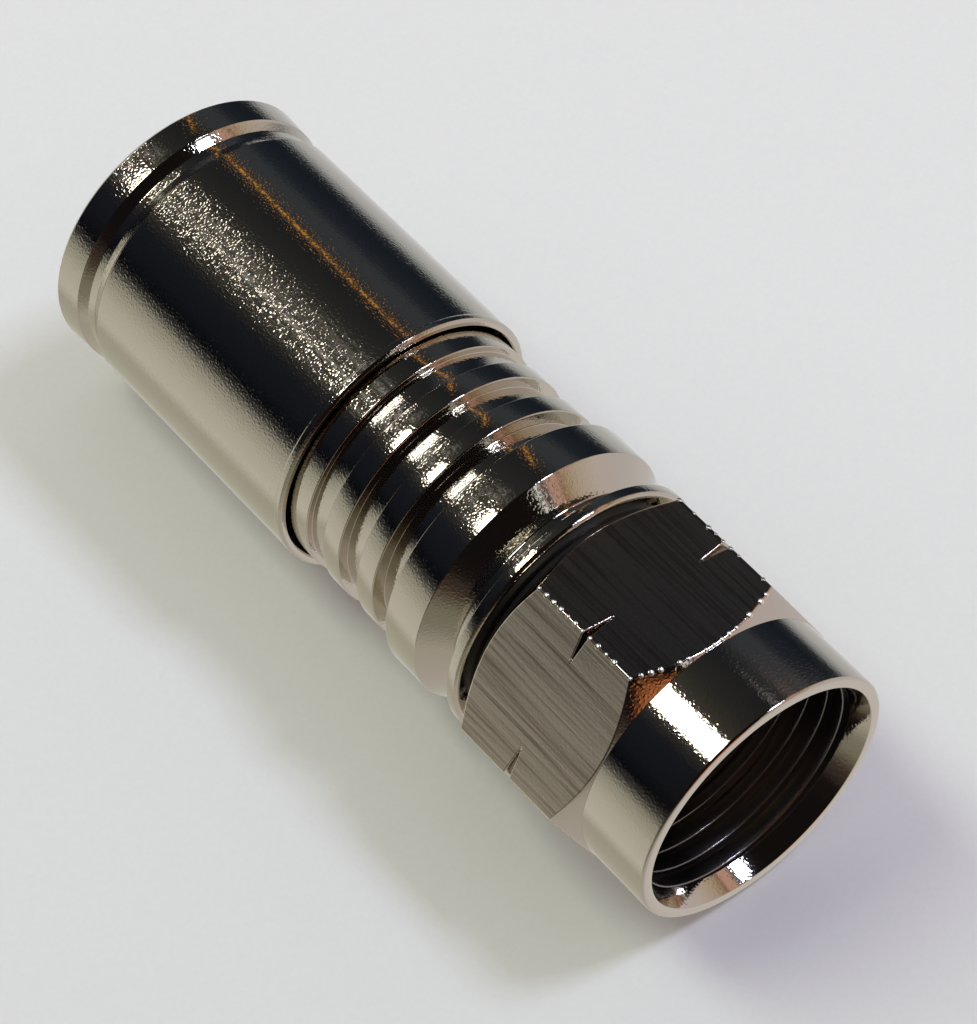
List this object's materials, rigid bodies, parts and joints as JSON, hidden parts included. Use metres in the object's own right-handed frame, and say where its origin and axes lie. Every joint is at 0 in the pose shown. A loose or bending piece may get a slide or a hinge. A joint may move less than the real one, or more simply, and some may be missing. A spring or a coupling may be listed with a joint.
{
  "type": "coaxial f connector",
  "caption": "Compression-type F connector for coaxial cable: free-spinning hexagonal nut, grooved body on a flanged post, and a sleeve that presses over the body to grip the cable.",
  "frame": {"origin": "centre of the cable-entry end, on the floor that the connector stands on", "axes": "+Z along the connector's axis from the cable entry to the threaded mouth; two flats of the hexagon face +Y and -Y"},
  "size_m": [0.0128, 0.0118, 0.0339],
  "materials": {
    "nut_nickel": "bright nickel plating on turned brass, flats lightly brushed",
    "body_nickel": "bright nickel plating on turned brass with a faint orange-peel grain",
    "sleeve_nickel": "bright nickel plating on brass tube with a fine orange-peel grain",
    "post_nickel": "nickel plating on turned brass",
    "seal_rubber": "moulded black rubber, satin",
    "ferrule_plastic": "moulded acetal, natural white"
  },
  "bodies": {
    "sleeve": {"compression_sleeve": "sleeve_nickel", "gripping_ferrule": "ferrule_plastic"},
    "body": {"connector_body": "body_nickel", "inner_post": "post_nickel", "nut_seal_ring": "seal_rubber"},
    "nut": {"coupling_nut": "nut_nickel"}
  },
  "joints": [
    {"name": "sleeve_press", "type": "slide", "parent": "sleeve", "child": "body", "axis": [0, 0, -1], "range_m": [0, 0.0059]},
    {"name": "nut_spin", "type": "hinge", "parent": "body", "child": "nut", "pos_m": [0, 0, 0.0255], "axis": [0, 0, 1], "continuous": true}
  ]
}
